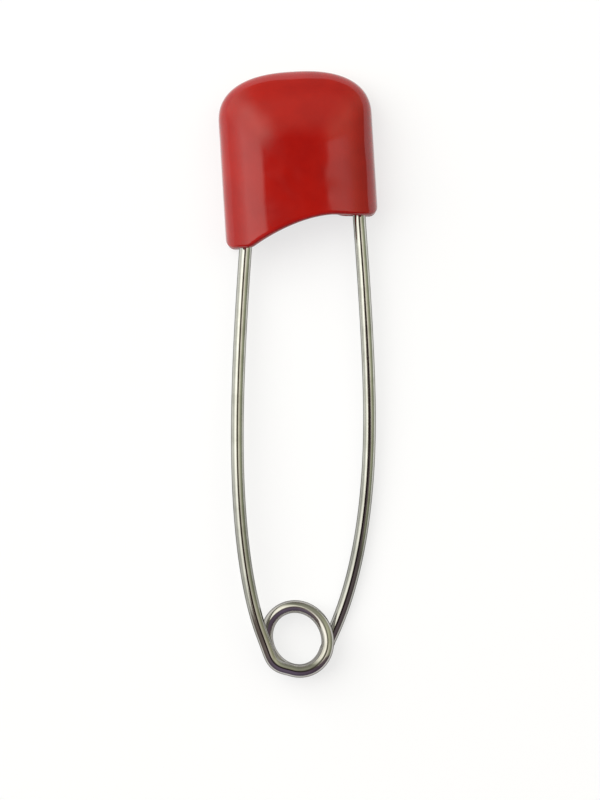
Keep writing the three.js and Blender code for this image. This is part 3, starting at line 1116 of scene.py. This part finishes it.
        edge = at_lengths(loop, even)
        edge[:, 0] = smoothed_loop(edge[:, :1] - drift[:, None], width)[:, 0] + drift
        edge[:, 1] = smoothed_loop(edge[:, 1:], width)[:, 0]
        starts = smoothed_loop(starts[:, None] - drift[:, None], width)[:, 0] + drift
        tangent = np.roll(edge, -1, axis=0) - np.roll(edge, 1, axis=0)
        tangent[0, 0] += far_flank
        tangent[-1, 0] += far_flank
        tangent /= np.linalg.norm(tangent, axis=1, keepdims=True)
        inward = np.stack([tangent[:, 1], -tangent[:, 0]], axis=1)
        return edge, inward, starts

    def skin_out(self, across: float, depth: np.ndarray, inner: bool) -> np.ndarray:
        """How far out a skin's front lies at one place across, down the head.

        Args:
            across: Place across the head.
            depth: Depths below the crown.
            inner: Whether it is the inner skin.

        Returns:
            Places out of the front.
        """
        top = self.crown_wall if inner else 0.0
        half = self.pin.half_width - (self.pin.cap_side_wall if inner else 0.0)
        front = self.front_rise - (self.front_wall if inner else 0.0)
        below = np.maximum(depth - top, 0.0)
        opened = self.opened(below, self.crown_height - top, self.crown_roundness)
        wide = half * np.maximum(opened, self.least_opening)
        rest = np.clip(1 - (np.abs(across) / wide) ** self.front_roundness, 0.0, 1.0)
        rise = np.maximum(front * rest ** (1 / self.front_roundness), self.ridge_rise) - self.ridge_rise
        return self.risen(below, rise, top)

    def build_rib(self, side: int) -> bpy.types.Object:
        """Makes a rib: a rounded rectangle carried down the inside of the cap's front.

        It reaches from the middle of the wall to the guard's web, and above the web's top edge to a
        shoulder. Its edges and its lower end are quarter circles.

        Args:
            side: 1 towards the fixed arm, and -1 towards the pin arm.

        Returns:
            The rib.
        """
        place = side * (self.pin.half_width - self.rib_inset)
        stop = self.pin.guard_depth - self.pin.sheet_gap
        lowest = float(self.pin.skirt_depth(np.array(place))) - self.pin.guard_recess
        turn = quarter(self.rib_corner_steps)
        edge = self.rib_edge
        depth = np.concatenate([
            np.linspace(self.rib_top, stop - edge, self.rib_rings // 2)[:-1],
            stop - edge * (1 - np.sin(turn)),
            np.linspace(stop, lowest - edge, self.rib_rings)[1:-1],
            lowest - edge * (1 - np.sin(turn)),
        ])
        drawn = np.zeros(len(depth))
        drawn[-len(turn):] = edge * (1 - np.cos(turn))
        web = self.pin.fold_radius + self.pin.sheet / 2 + self.pin.sheet_gap
        shoulder = self.pin.fold_radius - self.pin.sheet / 2
        rounded = shoulder + edge - np.sqrt(np.clip(edge ** 2 - (depth - stop + edge) ** 2, 0.0, None))
        back = np.where(depth < stop - edge, shoulder, np.where(depth < stop, rounded, web)) + drawn
        front = (self.skin_out(place, depth, False) + self.skin_out(place, depth, True)) / 2
        wide, high = self.rib_width / 2 - drawn, (front - back) / 2
        round_angle = np.radians(
            np.array([0.0, 90.0, 180.0, 270.0])[:, None] + np.linspace(0.0, 90.0, self.rib_corner_steps + 1)
        )
        signs = np.array([(1, 1), (-1, 1), (-1, -1), (1, -1)])
        across = signs[:, 0, None] * (wide[:, None, None] - edge) + edge * np.cos(round_angle)
        out = signs[:, 1, None] * (high[:, None, None] - edge) + edge * np.sin(round_angle)
        count = len(depth)
        middle = (front + back) / 2
        rings = self.pin.in_head(
            place + across.reshape(count, -1), depth[:, None], middle[:, None] + out.reshape(count, -1),
        )
        ends = [0, -1]
        return surface_mesh("cap_rib", rings, self.pin.in_head(place, depth[ends], middle[ends]))

    def build_shell(self) -> bpy.types.Object:
        """Makes the shell: rings from the crown down the outer skin, round the rim and up the inner.

        Down to the fan's depth the rings are level, spaced by the cosine of the dome's angle. Below it
        each column runs straight in the unrolled wall to the edge, less the rim. Round the rim the inset
        is the rim times one less the sine, and the share of the wall is half of one less the cosine.

        Returns:
            The shell.
        """
        edge, inward, starts = self.lower_edge()
        picks = np.linspace(0, len(edge), self.columns, endpoint=False).astype(int)
        edge, inward, starts = edge[picks], inward[picks], starts[picks]
        full = math.acos(1 - self.fan_depth / self.crown_height)
        dome = self.crown_height * (1 - np.cos(full * np.arange(1, self.dome_rings + 1) / self.dome_rings))
        fall = np.linspace(0.0, 1.0, self.wall_rings + 1)[1:]
        low = edge + inward * self.rim
        turns = [np.broadcast_to(starts, (self.dome_rings, self.columns))]
        depths = [np.broadcast_to(dome[:, None], (self.dome_rings, self.columns))]
        turns.append(starts + (low[:, 0] - starts) * fall[:, None])
        depths.append(self.fan_depth + (low[:, 1] - self.fan_depth) * fall[:, None])
        outer_turns, outer_depths = np.concatenate(turns), np.concatenate(depths)
        angle = np.radians(np.linspace(0.0, 180.0, self.rim_rings + 2)[1:-1])
        inset = self.rim * (1 - np.sin(angle))[:, None]
        rim_turns = edge[:, 0] + inward[:, 0] * inset
        rim_depths = edge[:, 1] + inward[:, 1] * inset
        rim_shares = np.broadcast_to(((1 - np.cos(angle)) / 2)[:, None], rim_turns.shape)
        inner_turns = outer_turns[::-1][::self.inner_step]
        inner_depths = outer_depths[::-1][::self.inner_step]
        all_turns = np.concatenate([outer_turns, rim_turns, inner_turns])
        all_depths = np.concatenate([outer_depths, rim_depths, inner_depths])
        all_shares = np.concatenate([
            np.zeros(outer_turns.shape), rim_shares, np.ones(inner_turns.shape),
        ])
        rings = self.wall(all_turns, all_depths, all_shares)
        poles = self.pin.in_head(np.zeros(2), np.array([0.0, self.crown_wall]), np.full(2, self.ridge_rise))
        return surface_mesh("moulded_cap", rings, poles)

    def build(self) -> bpy.types.Object:
        """Makes the moulded cap, its shell and ribs in one piece.

        Returns:
            The cap.
        """
        shell = self.build_shell()
        pieces = [shell, self.build_rib(-1), self.build_rib(1)]
        with bpy.context.temp_override(active_object=shell, selected_editable_objects=pieces):
            bpy.ops.object.join()
        return shell

    def dress(self, piece: bpy.types.Object, finish: MouldedPlastic) -> None:
        """Gives the cap its finish and fixes it to the frame.

        Args:
            piece: The cap.
            finish: Its finish.
        """
        piece.data.materials.append(finish.material())
        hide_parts("head_cap")
        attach(piece, Body.FRAME.value)


# The guard

@dataclass
class ClaspGuard:
    """The folded guard: one stamped sheet with an open hook round the point and an eye round the fixed
    arm, its sheared edges slightly rounded."""

    pin: PinSizes
    lip_reach: float = 0.75
    eye_wrap: float = 285.0
    edge: float = 0.09
    spacing: float = 0.09
    rows: int = 30
    corner_steps: int = 5
    hook_samples: int = 200
    eye_samples: int = 300

    def fold_line(self) -> np.ndarray:
        """Middle of the sheet across the head: lip, half circle, web and rolled eye.

        Returns:
            Across and out, one point a row at even lengths.
        """
        offset, radius = self.pin.arm_offset, self.pin.fold_radius
        line = np.concatenate([
            [[self.lip_reach - offset, -radius]],
            arc((-offset, 0.0), radius, 270.0, 90.0, self.hook_samples),
            arc((offset, 0.0), radius, 90.0, 90.0 - self.eye_wrap, self.eye_samples),
        ])
        length = run_lengths(line)[-1]
        return at_lengths(line, np.linspace(0.0, length, int(length / self.spacing)))

    def build(self) -> bpy.types.Object:
        """Makes the guard: a rounded rectangle, as thick as the sheet and as high as it stands above the
        cap's lower edge there, carried along the fold line. Both ends are drawn in by quarter circles.

        Returns:
            The guard.
        """
        line = self.fold_line()
        tangent = np.gradient(line, axis=0)
        tangent /= np.linalg.norm(tangent, axis=1, keepdims=True)
        normal = np.stack([-tangent[:, 1], tangent[:, 0]], axis=1)
        turn = quarter(self.corner_steps)
        drawn = self.edge * (1 - np.sin(turn))
        back = self.edge * (1 - np.cos(turn))[:, None]
        line = np.concatenate([
            line[:1] + tangent[:1] * back, line[2:-2], (line[-1:] - tangent[-1:] * back)[::-1],
        ])
        normal = np.concatenate([
            np.repeat(normal[:1], len(turn), axis=0), normal[2:-2],
            np.repeat(normal[-1:], len(turn), axis=0),
        ])
        inset = np.concatenate([drawn, np.zeros(len(line) - 2 * len(turn)), drawn[::-1]])
        half = self.pin.sheet / 2 - inset
        upper = self.pin.guard_depth + inset
        lower = self.pin.skirt_depth(line[:, 0]) - self.pin.guard_recess - inset
        rings = self.outlines(line, normal, half, upper, lower)
        ends = [0, -1]
        hubs = self.pin.in_head(line[ends, 0], (upper[ends] + lower[ends]) / 2, line[ends, 1])
        return surface_mesh("folded_guard", rings, hubs)

    def outlines(
        self,
        line: np.ndarray,
        normal: np.ndarray,
        half: np.ndarray,
        upper: np.ndarray,
        lower: np.ndarray,
    ) -> np.ndarray:
        """Rounded rectangle at every station of the fold line.

        Args:
            line: Middle of the sheet, across and out.
            normal: Direction through the sheet there.
            half: Half the sheet's thickness.
            upper: Depth of its top edge.
            lower: Depth of its lower edge.

        Returns:
            Rings of places in the frame.
        """
        turn = quarter(self.corner_steps)
        rows = np.linspace(0.0, 1.0, self.rows)[1:-1]
        radius = np.minimum(self.edge, half)[:, None]
        half, upper, lower = half[:, None], upper[:, None], lower[:, None]
        out_top = half - radius * (1 - np.sin(turn))
        down_top = upper + radius * (1 - np.cos(turn))
        down_low = lower - radius * (1 - np.cos(turn))
        run = (upper + radius) + (lower - upper - 2 * radius) * rows
        flat = np.broadcast_to(half, run.shape)
        through = np.concatenate([
            out_top, flat, out_top[:, ::-1], -out_top, -flat, -out_top[:, ::-1],
        ], axis=1)
        down = np.concatenate([
            down_top, run, down_low[:, ::-1], down_low, run[:, ::-1], down_top[:, ::-1],
        ], axis=1)
        across = line[:, 0, None] + normal[:, 0, None] * through
        out = line[:, 1, None] + normal[:, 1, None] * through
        return self.pin.in_head(across, down, out)

    def dress(self, piece: bpy.types.Object, finish: StampedNickelSheet) -> None:
        """Gives the guard its finish and fixes it to the frame.

        Args:
            piece: The guard.
            finish: Its finish.
        """
        piece.data.materials.append(finish.material())
        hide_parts("clasp_guard")
        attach(piece, Body.FRAME.value)


# The studio

@dataclass(frozen=True)
class FillLamp:
    """A flat soft lamp that lifts the shade and isn't mirrored, as light from a matt ceiling. Seen from
    the pin, it reaches between two angles off the vertical across the pin, and two along it."""

    name: str
    across: tuple[float, float]
    along: tuple[float, float]
    radiance: float
    distance: float = 500.0

    def build(self) -> None:
        """Makes the lamp. Its power is pi times its area times its radiance."""
        middle = math.radians(sum(self.across) / 2)
        spread = math.radians(abs(self.across[1] - self.across[0]) / 2)
        near, far = (math.tan(math.radians(end)) for end in self.along)
        width = 2 * self.distance * math.tan(spread) * MM
        length = self.distance * math.cos(middle) * (far - near) * MM
        lamp = bpy.data.lights.new(self.name, "AREA")
        lamp.shape = "RECTANGLE"
        lamp.size, lamp.size_y = width, length
        lamp.energy = math.pi * width * length * self.radiance
        holder = bpy.data.objects.new(self.name, lamp)
        bpy.context.scene.collection.objects.link(holder)
        holder.location = (
            self.distance * math.sin(middle) * MM,
            self.distance * math.cos(middle) * (far + near) / 2 * MM,
            self.distance * math.cos(middle) * MM,
        )
        holder.rotation_euler = (0.0, middle, 0.0)
        holder.visible_glossy = False


@dataclass
class Studio:
    """White paper, fill lamps above, and the room that the metal and the gloss mirror: a bright strip to
    the left and a weaker one to the right, pale walls behind the head, a dark ceiling round the camera
    and a dark room beyond the coil. The camera looks straight down.

    Angles are in degrees. The strips reach towards the head up to the head's edge, which is soft between
    its two angles, and towards the coil up to the coil's edge. That is one of the near ones, to the left
    or the right, at low tilts off the vertical, and the far one past the coil edge's tilts. The near
    ones blend where the direction's own x is small."""

    aim: tuple[float, float] = (0.1354, -1.7716)
    aim_height: float = 1.4
    picture_height: float = 55.463
    camera_distance: float = 450.0
    seen_range: tuple[float, float] = (10.0, 16000.0)
    floor_width: float = 8000.0
    floor_gap: float = 0.01
    room_strength: float = 2.1
    head_edge: tuple[float, float] = (7.0, 25.0)
    near_coil_edges: tuple[float, float] = (9.0, 8.5)
    near_edges_blend: float = 0.02
    far_coil_edge: float = 14.0
    coil_edge_tilts: tuple[float, float] = (33.0, 44.0)
    coil_edge_blur: float = 3.0
    lamps: tuple[FillLamp, ...] = (
        FillLamp("left fill lamp", (-65.0, -5.0), (-10.0, 53.0), 2.4),
        FillLamp("right fill lamp", (5.0, 50.0), (-5.0, 50.0), 0.85),
    )
    strips: Stops = (
        (-180.0, "#a1a19d"), (-90.0, "#a1a19d"), (-75.0, "#ababa6"), (-60.0, "#c0c0ba"),
        (-50.0, "#dcdbd5"), (-42.0, "#faf9f2"), (-30.0, "#f4f2eb"), (-19.0, "#e8e5dd"),
        (-15.5, "#4b423c"), (-9.0, "#241b18"), (6.0, "#241b18"), (11.0, "#443a36"),
        (14.0, "#c0bab0"), (28.0, "#c0bbb0"), (36.0, "#aba99d"), (45.0, "#92937f"),
        (55.0, "#7f826e"), (65.0, "#717462"), (90.0, "#626457"), (180.0, "#626457"),
    )
    walls: Stops = (
        (-180.0, "#574d5e"), (-135.0, "#574e5b"), (-110.0, "#625954"), (-90.0, "#625954"),
        (-80.0, "#ecebe2"), (-60.0, "#ecebe0"), (-50.0, "#f4f3e6"), (-40.0, "#e6e5d8"),
        (-30.0, "#babbad"), (-22.0, "#888a7c"), (-14.0, "#7c7d70"), (20.0, "#7b7c6f"),
        (38.0, "#8c8e7b"), (55.0, "#a2a48e"), (70.0, "#96967f"), (80.0, "#90907a"),
        (90.0, "#57504a"), (135.0, "#4b404c"), (180.0, "#574d5e"),
    )
    tilts: Stops = (
        (0.0, "#504846"), (9.0, "#585150"), (13.0, "#9f9b99"), (19.0, "#f0efed"), (24.0, "#ffffff"),
        (42.0, "#ffffff"), (60.0, "#dedede"), (90.0, "#dedede"), (180.0, "#dedede"),
    )

    def camera(self) -> None:
        """Hangs the camera over the pin, with its sensor's width fitted to the upright picture's height."""
        lens = bpy.data.cameras.new("camera")
        lens.sensor_fit = "AUTO"
        lens.lens = lens.sensor_width * self.camera_distance / self.picture_height
        lens.clip_start, lens.clip_end = (distance * MM for distance in self.seen_range)
        holder = bpy.data.objects.new("camera", lens)
        bpy.context.scene.collection.objects.link(holder)
        height = self.aim_height + self.camera_distance
        holder.location = (self.aim[0] * MM, self.aim[1] * MM, height * MM)
        bpy.context.scene.camera = holder

    def paper(self, level: float, finish: WhitePaper) -> None:
        """Lays the paper just under the pin.

        Args:
            level: Height of the pin's underside, in metres.
            finish: The paper's finish.
        """
        half = self.floor_width / 2 * MM
        height = level - self.floor_gap * MM
        corners = [(x * half, y * half, height) for x, y in ((-1, -1), (1, -1), (1, 1), (-1, 1))]
        mesh = bpy.data.meshes.new("paper")
        mesh.from_pydata(corners, [], [(0, 1, 2, 3)])
        sheet = bpy.data.objects.new("paper", mesh)
        bpy.context.scene.collection.objects.link(sheet)
        mesh.materials.append(finish.material())
        sheet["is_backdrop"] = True

    def shade(
        self, tree: bpy.types.NodeTree, angle: bpy.types.NodeSocket, stops: Stops,
    ) -> bpy.types.NodeSocket:
        """Colour of the room by one angle.

        Args:
            tree: The room's node tree.
            angle: The angle, in radians.
            stops: Angle in degrees and colour of each stop, with the range's ends as first and last.

        Returns:
            The colour.
        """
        least, most = stops[0][0], stops[-1][0]
        place = add_node(
            tree, "ShaderNodeMapRange", {"Value": angle},
            {"From Min": math.radians(least), "From Max": math.radians(most)},
        )
        ramp = add_node(tree, "ShaderNodeValToRGB", {"Fac": place.outputs["Result"]})
        set_ramp(ramp, [((degrees - least) / (most - least), colour) for degrees, colour in stops])
        return ramp.outputs["Color"]

    def directions(self, tree: bpy.types.NodeTree) -> dict[str, bpy.types.NodeSocket]:
        """Angles of a ray's direction, in radians.

        Tilt is off the vertical, and across is the same, negative to the left. Turned goes round the
        pin, from the head over the fixed arm's side. Headward is the rise towards the head from the
        line that runs straight across the pin.

        Args:
            tree: The room's node tree.

        Returns:
            The angles by name, with the direction's own x, y and z.
        """
        way = add_node(tree, "ShaderNodeTexCoord").outputs["Generated"]
        split = add_node(tree, "ShaderNodeSeparateXYZ", {"Vector": way}).outputs
        ways = {"x": split["X"], "y": split["Y"], "z": split["Z"]}
        for name, operation, *parts in (
            ("tilt", "ARCCOSINE", "z"),
            ("side", "SIGN", "x"),
            ("across", "MULTIPLY", "tilt", "side"),
            ("turned", "ARCTAN2", "x", "y"),
            ("reach", "ABSOLUTE", "x"),
            ("headward", "ARCTAN2", "y", "reach"),
        ):
            links = {place: ways[part] for place, part in enumerate(parts)}
            step = add_node(tree, "ShaderNodeMath", links, operation=operation)
            ways[name] = step.outputs["Value"]
        return ways

    def past_strips(
        self, tree: bpy.types.NodeTree, ways: dict[str, bpy.types.NodeSocket],
    ) -> bpy.types.NodeSocket:
        """How far a direction lies past the strips' edges, towards the head or the coil.

        Args:
            tree: The room's node tree.
            ways: The direction's angles.

        Returns:
            0 on the strips and 1 well past an edge.
        """
        near, far = (math.radians(edge) for edge in self.head_edge)
        above = add_node(
            tree, "ShaderNodeMapRange", {"Value": ways["headward"]}, {"From Min": near, "From Max": far},
            interpolation_type="SMOOTHSTEP",
        )
        left, right = (math.radians(edge) for edge in self.near_coil_edges)
        near_edge = add_node(
            tree, "ShaderNodeMapRange", {"Value": ways["x"]},
            {
                "From Min": -self.near_edges_blend, "From Max": self.near_edges_blend,
                "To Min": left, "To Max": right,
            },
        )
        low, high = (math.radians(tilt) for tilt in self.coil_edge_tilts)
        coil_edge = add_node(
            tree, "ShaderNodeMapRange", {"Value": ways["tilt"], "To Min": near_edge.outputs["Result"]},
            {"From Min": low, "From Max": high, "To Max": math.radians(self.far_coil_edge)},
            interpolation_type="SMOOTHSTEP",
        )
        past = add_node(
            tree, "ShaderNodeMath", {0: ways["headward"], 1: coil_edge.outputs["Result"]},
            operation="ADD",
        )
        below = add_node(
            tree, "ShaderNodeMapRange", {"Value": past.outputs["Value"]},
            {"From Min": 0.0, "From Max": -math.radians(self.coil_edge_blur)},
        )
        either = add_node(
            tree, "ShaderNodeMath", {0: above.outputs["Result"], 1: below.outputs["Result"]},
            operation="MAXIMUM",
        )
        return either.outputs["Value"]

    def light_room(self) -> None:
        """Lights the room by direction: on the strips by the angle across, and past their edges by the
        walls' shade round the pin times a shade by the tilt off the vertical."""
        world = bpy.data.worlds.new("soft studio room")
        bpy.context.scene.world = world
        world.use_nodes = True
        tree = world.node_tree
        tree.nodes.clear()
        ways = self.directions(tree)
        walls = add_node(
            tree, "ShaderNodeMix",
            {
                6: self.shade(tree, ways["turned"], self.walls),
                7: self.shade(tree, ways["tilt"], self.tilts),
            },
            {0: 1.0}, data_type="RGBA", blend_type="MULTIPLY",
        )
        room = add_node(
            tree, "ShaderNodeMix",
            {
                0: self.past_strips(tree, ways),
                6: self.shade(tree, ways["across"], self.strips),
                7: walls.outputs[2],
            },
            data_type="RGBA",
        )
        glow = add_node(
            tree, "ShaderNodeBackground", {"Color": room.outputs[2]}, {"Strength": self.room_strength},
        )
        add_node(tree, "ShaderNodeOutputWorld", {"Surface": glow.outputs["Background"]})

    def build(self, level: float) -> None:
        """Sets up the paper, the lamps, the room and the camera.

        Args:
            level: Height of the pin's underside, in metres.
        """
        self.paper(level, WhitePaper())
        for lamp in self.lamps:
            lamp.build()
        self.light_room()
        self.camera()
        bpy.context.scene.view_settings.view_transform = "Standard"


def coil_axis() -> tuple[float, float, float]:
    """The coil's axis in the plane of the wire, in millimetres: the arm's joint turns about it."""
    place = frame["joints"][0]["pos_m"]
    return (place[0] / MM, place[1] / MM, place[2] / MM)


def main() -> None:
    """Builds the wire, the cap, the guard and the studio."""
    logging.basicConfig(level=logging.INFO, format="%(name)s: %(message)s")
    cad_box = [list(corner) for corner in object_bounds()]
    sizes = PinSizes(coil_axis=coil_axis())
    makers = (
        (SpringWire(sizes), DrawnNickelWire()),
        (HeadCap(sizes), MouldedPlastic()),
        (ClaspGuard(sizes), StampedNickelSheet()),
    )
    for maker, finish in makers:
        piece = maker.build()
        maker.dress(piece, finish)
        LOG.info("%s: %d vertices, %s", piece.name, len(piece.data.vertices), finish.name)
    Studio().build(cad_box[0][2])


if __name__ == "__main__":
    main()
